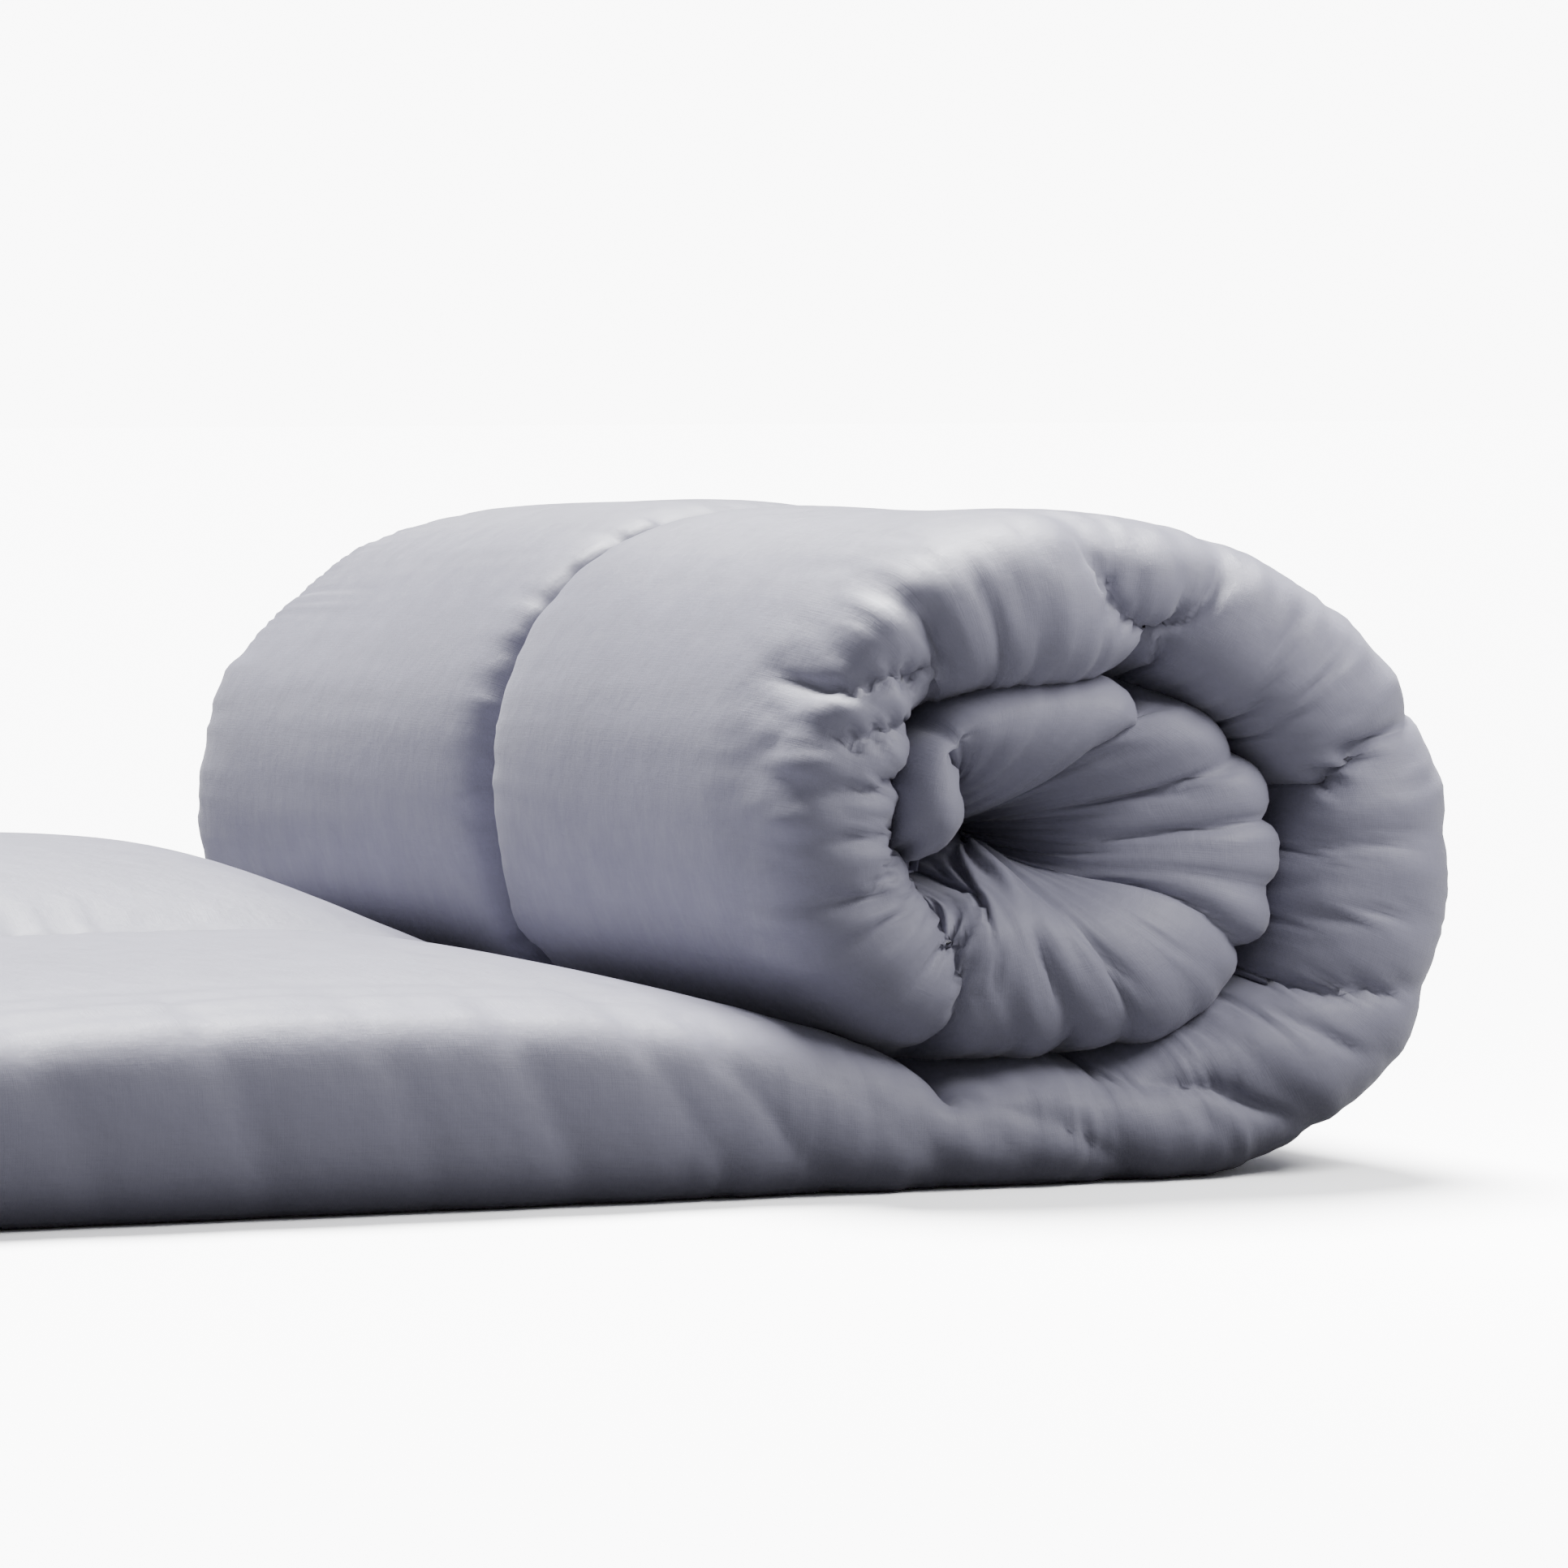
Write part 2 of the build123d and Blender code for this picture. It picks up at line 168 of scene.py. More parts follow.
# Creases of the folded edge, in millimetres. Each is cut into one turn of the roll (1 outer,
# 2 inner, 0 both): its depth (a ridge is negative), how wide it is to the left and to the
# right of its line, then the line's points (x, z), from the turn's outside to its inside
CREASES = [
    (1, 18, 24, 8, [(-34, 352), (-10, 306), (16, 274)]),
    (1, -5, 6, 6, [(26, 350), (22, 298), (16, 274)]),
    (1, 7, 12, 5, [(40, 345), (31, 298), (17, 272)]),
    (1, 14, 8, 14, [(68, 340), (44, 298), (10, 262)]),
    (1, 5, 8, 8, [(104, 316), (82, 270), (70, 235)]),
    (1, 5, 8, 8, [(132, 300), (106, 262), (80, 226)]),
    (1, 3, 7, 7, [(160, 275), (122, 245), (88, 215)]),
    (1, 19, 16, 8, [(200, 250), (138, 229), (86, 190)]),
    (1, 6, 10, 6, [(170, 226), (125, 214), (88, 192)]),
    (1, 4, 10, 10, [(204, 180), (105, 170)]),
    (1, 4, 10, 6, [(204, 140), (100, 137)]),
    (1, 15, 9, 16, [(204, 96), (124, 97), (85, 106)]),
    (1, 5, 7, 10, [(180, 52), (120, 70), (74, 88)]),
    (1, 14, 9, 16, [(134, 16), (46, 50), (-14, 66)]),
    (1, 4, 8, 8, [(90, -4), (30, 40), (-30, 60)]),
    (1, 8, 6, 16, [(30, -10), (-32, 28), (-85, 52)]),
    (1, 5, 8, 14, [(-30, -10), (-72, 22), (-120, 54)]),
    (1, 5, 8, 16, [(-85, -10), (-125, 26), (-175, 64)]),
    (1, 5, 8, 18, [(-155, -10), (-195, 30), (-235, 72)]),
    (1, 4, 8, 18, [(-215, -10), (-245, 36), (-280, 80)]),
    (1, 4, 8, 20, [(-300, -10), (-325, 40), (-350, 84)]),
    (1, 3, 10, 20, [(-380, -10), (-400, 40), (-425, 90)]),
    (1, 3, 10, 22, [(-470, -10), (-490, 40), (-510, 90)]),
    (1, 3, 10, 22, [(-560, -10), (-580, 40), (-610, 90)]),
    (1, 15, 6, 12, [(-140, 322), (-107, 284), (-98, 256)]),
    (1, 4, 10, 10, [(-100, 340), (-70, 268)]),
    (1, 4, 8, 8, [(-168, 296), (-118, 262)]),
    (1, 15, 12, 6, [(-200, 262), (-150, 268), (-118, 264)]),
    (1, 15, 14, 6, [(-204, 228), (-140, 238), (-108, 236)]),
    (1, 10, 8, 5, [(-200, 205), (-118, 212)]),
    (1, 8, 8, 6, [(-200, 180), (-118, 190)]),
    (1, 12, 8, 4, [(-196, 148), (-150, 155), (-116, 184)]),
    (1, 8, 8, 7, [(-176, 116), (-112, 162)]),
    (1, 5, 8, 7, [(-148, 82), (-104, 134)]),
    (0, 18, 8, 8, [(-106, 176), (-99, 139), (-96, 100), (-100, 60)]),
    (2, 7, 6, 10, [(-86, 134), (-74, 102), (-52, 62)]),
    (2, 8, 6, 10, [(-66, 140), (-48, 111), (-22, 66)]),
    (2, 5, 6, 6, [(-94, 118), (-70, 62)]),
    (2, 7, 6, 10, [(-40, 146), (-12, 112), (10, 70)]),
    (2, 4, 8, 8, [(-15, 158), (30, 112), (47, 80)]),
    (2, 3, 7, 7, [(25, 144), (68, 96)]),
    (2, 16, 6, 16, [(-55, 176), (0, 164), (40, 146), (96, 108)]),
    (2, 10, 8, 6, [(-50, 176), (18, 201), (86, 228)]),
    (2, 12, 8, 6, [(-50, 175), (21, 181), (108, 190)]),
    (2, 9, 8, 8, [(-50, 174), (35, 164), (104, 148)]),
    (2, 18, 6, 24, [(-62, 177), (-30, 207), (6, 242), (30, 270)]),
    (2, 16, 18, 5, [(-116, 262), (-98, 228), (-86, 205), (-83, 165)]),
]
CREASE_REACH = 0.15     # how far across the cloth a crease runs on from the fold
CREASE_FULL = 0.45      # the share of that reach over which it keeps its full depth


def cubic_through(knots, values, at):
    """Natural cubic curve through values at knots, read at the given places."""
    knots, values, at = (np.asarray(a, float) for a in (knots, values, at))
    gap = np.diff(knots)
    count = len(knots)
    matrix = np.eye(count)
    right = np.zeros_like(values)
    for i in range(1, count - 1):
        matrix[i, i - 1 : i + 2] = gap[i - 1], 2 * (gap[i - 1] + gap[i]), gap[i]
        rise = (values[i + 1] - values[i]) / gap[i] - (values[i] - values[i - 1]) / gap[i - 1]
        right[i] = 6 * rise
    curve = np.linalg.solve(matrix, right)
    left = np.clip(np.searchsorted(knots, at, side="right") - 1, 0, count - 2)
    h = gap[left][:, None]
    a = (knots[left + 1] - at)[:, None] / h
    b = (at - knots[left])[:, None] / h
    bend = ((a**3 - a) * curve[left] + (b**3 - b) * curve[left + 1]) * h**2 / 6
    return a * values[left] + b * values[left + 1] + bend


def smooth_step(value, start, end):
    """0 before start, 1 after end, and a smooth rise between them."""
    t = np.clip((value - start) / (end - start), 0, 1)
    return t * t * (3 - 2 * t)


def smooth_noise(rng, shape, cells):
    """Random values over a grid that vary smoothly, with the given number of cells."""
    coarse = rng.standard_normal((cells[0] + 4, cells[1] + 4))
    result = coarse
    for axis, (count, number) in enumerate(zip(shape, cells)):
        at = np.linspace(1, number + 1, count)
        left = np.floor(at).astype(int)
        t = at - left
        weights = [
            (1 - t) ** 3 / 6,
            (3 * t**3 - 6 * t**2 + 4) / 6,
            (-3 * t**3 + 3 * t**2 + 3 * t + 1) / 6,
            t**3 / 6,
        ]
        layers = [np.take(result, left - 1 + k, axis=axis) for k in range(4)]
        spread = [wt[:, None] if axis == 0 else wt[None, :] for wt in weights]
        result = sum(layer * wt for layer, wt in zip(layers, spread))
    return result


class Strip:
    """The strip's section at each s: its middle, its direction outward and its half thickness."""

    def __init__(self, s):
        outside = [(x, low) for x, low, _ in TONGUE] + [outer for outer, _ in ROLL]
        inside = [(x, high) for x, _, high in TONGUE] + [inner for _, inner in ROLL]
        outside, inside = np.array(outside) / 1000, np.array(inside) / 1000
        # cloth keeps its length halfway between the middle of the strip and its outside
        neutral = 0.75 * outside + 0.25 * inside
        steps = np.linalg.norm(np.diff(neutral, axis=0), axis=1)
        knots = np.concatenate([[0], np.cumsum(steps)])
        knots *= CUT_LENGTH / knots[-1]
        outer, inner = cubic_through(knots, outside, s), cubic_through(knots, inside, s)
        reach = outer - inner
        thickness = np.linalg.norm(reach, axis=1)
        self.s = s
        self.middle = (outer + inner) / 2
        self.half = thickness / 2
        self.out = reach / thickness[:, None]
        self.roll_start = knots[len(TONGUE)]
        self.turn_in = knots[len(TONGUE) + TURN_IN]
        self.last_quarter = knots[len(TONGUE) + LAST_QUARTER]
        # 1 on the tongue, falling to 0 where it goes under the roll
        self.lying = 1 - smooth_step(self.middle[:, 0], -0.30, -0.12)
        self.lying[s > self.roll_start] = 0
        # how the outer and the inner open edge wander, and how the tongue's folds do
        waves = smooth_noise(np.random.default_rng(SEED + 2), (len(s), 4), (30, 1))
        self.wave, self.fold_wave = waves[:, :2], waves[:, 3:]
        self.sway = smooth_noise(np.random.default_rng(SEED + 9), (len(s), 2), (40, 3))

    def place(self, u, v, w):
        """Points at a distance u from the fold and a height v from the strip's middle."""
        # the open edges wave a little, and sag on the ground
        at_edge = smooth_step(np.abs(w), EDGE_FROM, HALF_WIDTH)[None, :]
        outer = w[None, :] > 0
        wave = np.where(outer, self.wave[:, :1], self.wave[:, 1:])
        v = v + at_edge * (EDGE_WAVE * wave + EDGE_SAG * (self.lying * self.half)[:, None])
        sway = np.where(outer, self.sway[:, :1], self.sway[:, 1:])
        u = u + at_edge * EDGE_SWAY * sway
        x = self.middle[:, 0, None] + self.out[:, 0, None] * v
        z = self.middle[:, 1, None] + self.out[:, 1, None] * v
        return np.stack([x + ROLL_X, u + FOLD_Y, z], axis=2)


def fold_profile(square, part):
    """Depth (0 to 1) and height (0 to 1) of the rounded fold at each part of its cloth."""
    turn = np.linspace(0, math.pi / 2, 600)
    depth = 1 - np.cos(turn) ** square
    height = np.sin(turn) ** square
    run = np.concatenate([[0], np.cumsum(np.hypot(np.diff(depth), np.diff(height)))])
    run /= run[-1]
    return np.interp(part, run, depth), np.interp(part, run, height)


def rounded_drop(distance, width):
    """1 at a seam, 0 from width away, shaped like the side of a filled channel."""
    t = np.clip(1 - np.abs(distance) / width, 0, 1)
    return 1 - np.sqrt(np.clip(1 - t * t, 0, 1))


def channel_pinch(across):
    """1 at the quilting seam and at the hem, 0 where a channel is at its full height."""
    from_seam = across - QUILT_SEAM
    to_hem = HALF_WIDTH - HEM - np.minimum(across, HALF_WIDTH - HEM)
    seam_width = np.where(from_seam < 0, SEAM_NEAR, SEAM_FAR)
    return np.maximum(rounded_drop(from_seam, seam_width), rounded_drop(to_hem, HEM_ROUND))


def face_surface(strip, w):
    """The filled strip's outside over the grid of s and w, before the cloth gathers."""
    side, across = np.sign(w)[None, :], np.abs(w)[None, :]
    part = np.clip(across / FOLD_CLOTH, 0, 1)
    roll_depth, roll_height = fold_profile(ROLL_SQUARE, part)
    under = fold_profile(TONGUE_SQUARE, part)
    over = fold_profile(TONGUE_TOP_SQUARE, part)
    tongue_depth, tongue_height = (np.where(side < 0, a, b) for a, b in zip(over, under))
    lying = strip.lying[:, None]
    depth = roll_depth + (tongue_depth - roll_depth) * lying
    height = roll_height + (tongue_height - roll_height) * lying
    flat_scale = (STRIP_WIDTH - FOLD_DEPTH) / (HALF_WIDTH - FOLD_CLOTH)
    u = FOLD_DEPTH * depth + np.clip(across - FOLD_CLOTH, 0, None) * flat_scale
    on_top = side < 0
    height = height * (1 - on_top * lying * TONGUE_RIDGE * (1 - smooth_step(u, 0.02, 0.22)))
    height = height - (1 - SEAM_LEVEL) * channel_pinch(across)
    lumps = smooth_noise(np.random.default_rng(SEED + 3), height.shape, (28, 16))
    lumps = LUMPS * lumps * (1 - channel_pinch(across)) * smooth_step(across, 0.05, 0.20)
    v = side * (height * strip.half[:, None] + lumps)
    # the side channel of the tongue's upper half is the fullest
    channel = np.clip((u - QUILT_SEAM) / (STRIP_WIDTH - QUILT_SEAM), 0, 1)
    loft = np.sqrt(np.clip(np.sin(math.pi * channel), 0, 1)) * on_top
    v = v - BACK_LOFT * lying * smooth_step(strip.s, 0.0, 0.12)[:, None] * loft
    for at, deep, width in TONGUE_FOLDS:
        wander = at + FOLD_WAVE * strip.fold_wave
        v = v + deep * lying * on_top * np.exp(-(((across - wander) / width) ** 2))
    innermost = smooth_step(strip.s, strip.last_quarter - 0.12, strip.last_quarter + 0.05)[:, None]
    lean = ((1 - side * height) / 2) ** 1.5 * (1 - smooth_step(u, 0.05, 0.25))
    u = u + INNER_LEAN * innermost * lean
    end_lean = END_LEAN * smooth_step(strip.s, CUT_LENGTH - 0.035, CUT_LENGTH)[:, None]
    u = u + end_lean * (1 - smooth_step(u, 0.10, 0.30))
    return strip.place(u, v, w)


def back_surface(strip, w):
    """The inside panel, which lies on itself in the middle of the folded strip."""
    side, across = np.sign(w)[None, :], np.abs(w)[None, :]
    flat_scale = (STRIP_WIDTH - FOLD_DEPTH) / (HALF_WIDTH - FOLD_CLOTH)
    flat = FOLD_DEPTH + np.clip(across - FOLD_CLOTH, 0, None) * flat_scale
    ease = np.clip(across / BACK_EASE, 0, 1)
    eased = FOLD_DEPTH + ease * (BACK_EASE - FOLD_CLOTH) * flat_scale
    u = np.where(across < BACK_EASE, eased, flat)
    at_seams = SEAM_LEVEL * channel_pinch(across) * strip.half[:, None]
    v = side * (BACK_GAP * smooth_step(across, 0, 0.02) + at_seams)
    return strip.place(np.broadcast_to(u, v.shape), v, w)


def grid_normals(points):
    """Unit normals of a grid of points."""
    along = np.gradient(points, axis=0)
    over = np.gradient(points, axis=1)
    normal = np.cross(over, along)
    return normal / np.maximum(np.linalg.norm(normal, axis=2, keepdims=True), 1e-12)


def settle_filling(surface, strip):
    """Moves the roll in or out, towards its own axis, wherever the filling has settled."""
    depth = np.zeros(surface.shape[:2])
    place = surface - np.array([ROLL_X, FOLD_Y, 0])
    for middle, deep, reach in SETTLED:
        away = (place - np.array(middle)) / np.array(reach)
        depth += deep * np.exp(-np.einsum("ijk,ijk->ij", away, away))
    depth *= smooth_step(strip.s, strip.roll_start - 0.1, strip.roll_start + 0.1)[:, None]
    inward = np.array([0, 0, AXIS_HEIGHT]) - place * np.array([1, 0, 1])
    distance = np.linalg.norm(inward, axis=2)
    inward /= np.maximum(distance, 0.05)[:, :, None]
    return surface + inward * depth[:, :, None]


def beside_line(x, z, points):
    """Signed distance from each (x, z) to a line, + on its left, and the part of it passed."""
    nearest, signed, passed = (np.full(x.shape, value) for value in (np.inf, 0.0, 0.0))
    for i, ((ax, az), (bx, bz)) in enumerate(zip(points, points[1:])):
        dx, dz = bx - ax, bz - az
        t = np.clip(((x - ax) * dx + (z - az) * dz) / (dx * dx + dz * dz), 0, 1)
        off_x, off_z = x - ax - t * dx, z - az - t * dz
        away = np.hypot(off_x, off_z)
        closer = away < nearest
        signed = np.where(closer, np.where(dx * off_z - dz * off_x > 0, away, -away), signed)
        passed = np.where(closer, (i + t) / (len(points) - 1), passed)
        nearest = np.minimum(nearest, away)
    return signed, passed


def crease_fold(surface, strip, w):
    """Presses the creases of the folded edge into the strip's surface."""
    near = np.abs(w) < CREASE_REACH
    part = surface[:, near]
    normal = grid_normals(surface)[:, near]
    fade = 1 - smooth_step(np.abs(w[near]), CREASE_FULL * CREASE_REACH, CREASE_REACH)
    x, z = part[:, :, 0] - ROLL_X, part[:, :, 2]
    depth = np.zeros(x.shape)
    turns = {0: np.ones(len(strip.s)), 1: strip.s < strip.turn_in, 2: strip.s >= strip.turn_in}
    for turn, *sizes, points in CREASES:
        deep, left, right = np.array(sizes) / 1000
        signed, passed = beside_line(x, z, np.array(points) / 1000)
        width = np.where(signed > 0, left, right)
        rounded = np.hypot(signed, 0.002) - 0.002
        line = deep * np.exp(-rounded / width) * smooth_step(passed, -0.05, 0.40)
        depth += line * turns[turn][:, None]
    creased = surface.copy()
    creased[:, near] = part - normal * (depth * fade[None, :])[:, :, None]
    return creased


def hollow_fold(surface, strip, w):
    """Pushes the second turn's front back, or out, at its hollows and swellings."""
    near = np.abs(w) < CREASE_REACH
    fade = 1 - smooth_step(np.abs(w[near]), CREASE_FULL * CREASE_REACH, CREASE_REACH)
    x, z = surface[:, near, 0] - ROLL_X, surface[:, near, 2]
    back = np.zeros(x.shape)
    for (middle_x, middle_z), deep, reach in HOLLOWS:
        back += deep * np.exp(-((x - middle_x) ** 2 + (z - middle_z) ** 2) / reach**2)
    hollowed = surface.copy()
    hollowed[:, near, 1] += back * (strip.s >= strip.turn_in)[:, None] * fade[None, :]
    return hollowed


def graded(total, step_at):
    """Places from 0 to total, whose steps follow a function of the place."""
    places = [0.0]
    while places[-1] < total:
        places.append(places[-1] + step_at(places[-1]))
    return np.array(places) * total / places[-1]


def cloth_grid():
    """s and w of the cloth's grid: s is fine in the roll, w round the fold and at the seams."""
    s = graded(CUT_LENGTH, lambda at: STEP_S - FINER_IN_ROLL * smooth_step(at, 0.35, 0.62))

    def step_w(at):
        near_seam = 1 - smooth_step(abs(at - QUILT_SEAM), 0.012, 0.050)
        near_fold = 1 - smooth_step(at, 0.12, 0.22)
        near_hem = smooth_step(at, 0.92, 0.97)
        finer = (FINER_AT_SEAM * near_seam, FINER_AT_FOLD * near_fold, FINER_AT_HEM * near_hem)
        return STEP_W - max(finer)

    half = graded(HALF_WIDTH, step_w)
    half[np.argmin(np.abs(half - QUILT_SEAM))] = QUILT_SEAM
    return s, np.concatenate([-half[:0:-1], half])


# ---------------------------------------------------------------- the cloth
# Steps of the cloth's grid, and how much finer they get
STEP_S, FINER_IN_ROLL = 0.0090, 0.0053
STEP_W, FINER_AT_SEAM, FINER_AT_FOLD, FINER_AT_HEM = 0.0185, 0.0150, 0.0131, 0.0125
HELD_AT_SEAM = 0.004    # width over which a seam holds the cloth down,
HELD_AT_HEM = 0.006     # and the edge of a hem
HELD_AT_END = (0.010, 0.014)    # and each end, fully and in part
GATHER_LIMIT = 0.07     # the most spare length that cloth gathers up, as a share
FOLD_MOST = 0.0060      # height of the folds that the cloth starts to gather from
SEAM_TAKE_UP = 0.05     # spare length beside a quilting seam, drawn up by its thread
SLACK_ACROSS = 0.03     # the most spare length across the strip, as a share
TAUT = 0.985            # cloth that the shape would stretch is drawn this much tighter
CLOTH_STEPS = 60
MOMENTUM = 0.85         # share of its movement that the cloth keeps from step to step
DIAGONAL_SHARE = 0.1    # how firmly the cloth keeps its diagonals
HOLD = 0.006            # how firmly the fill holds the cloth's place, each step
DRAG = 0.05             # how firmly it keeps the cloth from sliding along itself
STIFFNESS = 0.05        # the cloth's resistance to creasing
SWELL = 0.00006         # how far the fill pushes the cloth out, each step
RUFFLE = 0.0016         # height of the fine folds beside the folded edge
# The same elsewhere, as shares of it: on plain cloth, beside a seam and beside a hem
RUFFLE_PLAIN, RUFFLE_SEAM, RUFFLE_HEM = 0.22, 1.8, 1.6
RUFFLE_SHOULDER = 0.7   # what the roll's left shoulder adds
RUFFLE_LYING = 0.6      # what the tongue takes off
RUFFLE_LEVEL = 0.9      # folds above this level stand out, and the rest go in


def pull_together(points, first, second, rest, share=0.5):
    """Moves two sets of points that no other pair shares until they are rest apart."""
    a, b = points[first], points[second]
    gap = b - a
    length = np.maximum(np.sqrt(np.einsum("ijk,ijk->ij", gap, gap)), 1e-9)
    move = gap * ((length - rest) / length * share)[:, :, None]
    a += move
    b -= move


def alternate(parity, count):
    """Every other point of a row, and the neighbour after each."""
    return slice(parity, count - 1, 2), slice(parity + 1, count, 2)


def distances(points, step_s, step_w):
    """Distance from each grid point to the one a step away."""
    rows, cols = points.shape[:2]
    low = max(0, -step_w)
    a = points[: rows - step_s, low : cols - max(0, step_w)]
    b = points[step_s:, low + step_w : cols - max(0, step_w) + step_w]
    return np.linalg.norm(b - a, axis=2)


def laplacian(field):
    """How far each point is from the middle of its four neighbours."""
    padded = np.pad(field, ((1, 1), (1, 1), (0, 0)), mode="edge")
    around = padded[2:, 1:-1] + padded[:-2, 1:-1] + padded[1:-1, 2:] + padded[1:-1, :-2]
    return around / 4 - field


def fine_folds(rng, shape, across, fine_across):
    """Rounded ridges with sharp valleys that run across the strip, in two sizes."""
    large = np.abs(smooth_noise(rng, shape, (150, across)))
    return large + 0.5 * np.abs(smooth_noise(rng, shape, (330, fine_across)))


def end_quiet(s):
    """1 along the strip, falling to 0 at the end in the middle of the roll."""
    return smooth_step(CUT_LENGTH - s, 0.02, 0.10)[:, None]


def gather_cloth(base, s, w, pinned):
    """Lets the cloth over base find its cut size, held by the fill under it."""
    rng = np.random.default_rng(SEED)
    normal = grid_normals(base)
    shape = base.shape[:2]
    base_s, base_w = distances(base, 1, 0), distances(base, 0, 1)
    cut_s = np.broadcast_to(np.diff(s)[:, None], base_s.shape)
    cut_w = np.broadcast_to(np.diff(w)[None, :], base_w.shape)
    beside_seam = np.exp(-(((np.abs(w) - QUILT_SEAM) / 0.035) ** 2))[None, :]
    most = (1 + GATHER_LIMIT) * base_s
    rest_s = np.clip(cut_s, TAUT * base_s, most) * (1 + SEAM_TAKE_UP * beside_seam)
    rest_w = np.clip(cut_w, TAUT * base_w, (1 + SLACK_ACROSS) * base_w)
    # folds start taller where there is more cloth to gather
    folds = fine_folds(rng, shape, 12, 24)
    spare = np.clip(np.pad(rest_s / base_s, ((0, 1), (0, 0)), mode="edge") - 1, 0, GATHER_LIMIT)
    height = FOLD_MOST * (0.15 + 0.85 * spare / GATHER_LIMIT)
    height *= end_quiet(s)
    points = base + normal * (height * folds * (1 - pinned))[:, :, None]
    diagonal = np.sqrt(
        ((rest_s[:, :-1] + rest_s[:, 1:]) / 2) ** 2 + ((rest_w[:-1] + rest_w[1:]) / 2) ** 2
    )
    everything, but_last, but_first = slice(None), slice(0, -1), slice(1, None)
    loose = (1 - pinned)[:, :, None]
    speed = np.zeros_like(points)
    for _ in range(CLOTH_STEPS):
        before = points.copy()
        points += MOMENTUM * speed
        moved = points - base
        across = np.einsum("ijk,ijk->ij", moved, normal)[:, :, None] * normal
        moved += STIFFNESS * laplacian(moved)
        moved -= HOLD * across + DRAG * (moved - across)
        moved += SWELL * normal
        points = base + moved * loose
        for parity in (0, 1):
            low, high = alternate(parity, shape[0])
            pull_together(points, (low, everything), (high, everything), rest_s[parity::2])
            low, high = alternate(parity, shape[1])
            pull_together(points, (everything, low), (everything, high), rest_w[:, parity::2])
        for parity in (0, 1):
            low, high = alternate(parity, shape[0])
            rest = diagonal[parity::2]
            for first, second in ((but_last, but_first), (but_first, but_last)):
                pull_together(points, (low, first), (high, second), rest, DIAGONAL_SHARE)
        points = base + (points - base) * loose
        points[:, :, 2] = np.maximum(points[:, :, 2], 0)
        speed = points - before
    return points


def held_points(s, w):
    """1 where the cloth is sewn down, 0 where it is free."""
    across = np.abs(w)
    seam = np.exp(-((across - QUILT_SEAM) / HELD_AT_SEAM) ** 2)
    edge = smooth_step(across, HALF_WIDTH - HEM - HELD_AT_HEM, HALF_WIDTH - HEM)
    full, part = HELD_AT_END
    ends = smooth_step(-s, -part, -full) + smooth_step(s, CUT_LENGTH - part, CUT_LENGTH - full)
    return np.clip(np.maximum(np.maximum(seam, edge)[None, :], ends[:, None]), 0, 1)


def ruffle(face, strip, w, pinned):
    """Adds fine folds beside the folded edge, the quilting seams and the hems."""
    rng = np.random.default_rng(SEED + 1)
    shape = face.shape[:2]
    folds = fine_folds(rng, shape, 20, 30)
    across = np.abs(w)[None, :]
    near_fold = 1 - smooth_step(across, 0.05, 0.18)
    near_seam = RUFFLE_SEAM * np.exp(-(((across - QUILT_SEAM) / 0.028) ** 2))
    near_hem = RUFFLE_HEM * smooth_step(across, 0.88, 0.97)
    shoulder = (strip.s < strip.turn_in) * smooth_step(-strip.middle[:, 0], 0.05, 0.11)
    shoulder = (shoulder * (strip.s > strip.roll_start))[:, None]
    share = RUFFLE_PLAIN + near_fold * (1 + RUFFLE_SHOULDER * shoulder) + near_seam + near_hem
    share = share * (1 - RUFFLE_LYING * strip.lying[:, None])
    share *= end_quiet(strip.s) * (1 - pinned)
    height = RUFFLE * share * (folds - RUFFLE_LEVEL)
    ruffled = face + grid_normals(face) * height[:, :, None]
    ruffled[:, :, 2] = np.maximum(ruffled[:, :, 2], HEM_RAISE)
    return ruffled


# ---------------------------------------------------------------- meshes
HEM_RAISE = 0.0008      # half thickness of a hem
STITCH = 0.0048         # from one stitch to the next
STITCH_LENGTH = 0.0037
THREAD_RADIUS = 0.00032
THREAD_LIFT = 0.0002
FILL_CLEAR = 0.012      # from the face panel to the fill
FILL_CLEAR_MOST = 0.35  # the same, at most, as a share of the gap between the panels
FILL_CLEAR_BACK = 0.1   # from the back panel, as a share of the clearance of the face
FILL_CLEAR_OF_SEAM = 0.008
FILL_CLEAR_OF_END = 0.020
HEM_LINES = 5           # grid points across a hem
LABEL_THICKNESS = 0.0006
LABEL_RIPPLE = 0.002    # how far its free end waves
LABEL_BEFORE = 0.6      # it hangs on the tongue, at an s below this
LABEL_CURL = 1.1        # angle that the label turns outwards over its length


def linked(name, data):
    """A new object of the scene that shows the data."""
    thing = bpy.data.objects.new(name, data)
    bpy.context.scene.collection.objects.link(thing)
    return thing


def flat_cloth(s, w):
    """The place of each grid point on the flat cloth, in metres."""
    return np.stack(np.broadcast_arrays(w[None, :], s[:, None]), axis=2)


def add_object(name, points, faces, uv=None):
    """A smooth mesh object; uv gives each vertex's place on the flat cloth."""
    mesh = bpy.data.meshes.new(name)
    mesh.from_pydata(np.asarray(points).reshape(-1, 3).tolist(), [], np.asarray(faces).tolist())
    mesh.shade_smooth()
    if uv is not None:
        layer = mesh.uv_layers.new(name="cloth")
        corner = np.empty(len(mesh.loops), dtype=np.int32)
        mesh.loops.foreach_get("vertex_index", corner)
        layer.data.foreach_set("uv", np.asarray(uv, np.float32).reshape(-1, 2)[corner].ravel())
    piece = linked(name, mesh)
    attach(piece, "root")
    return piece


def grid_faces(rows, cols):
    """Quads over a grid of rows x cols vertices."""
    index = np.arange(rows * cols).reshape(rows, cols)
    quads = [index[:-1, :-1], index[1:, :-1], index[1:, 1:], index[:-1, 1:]]
    return np.stack(quads, axis=-1).reshape(-1, 4)


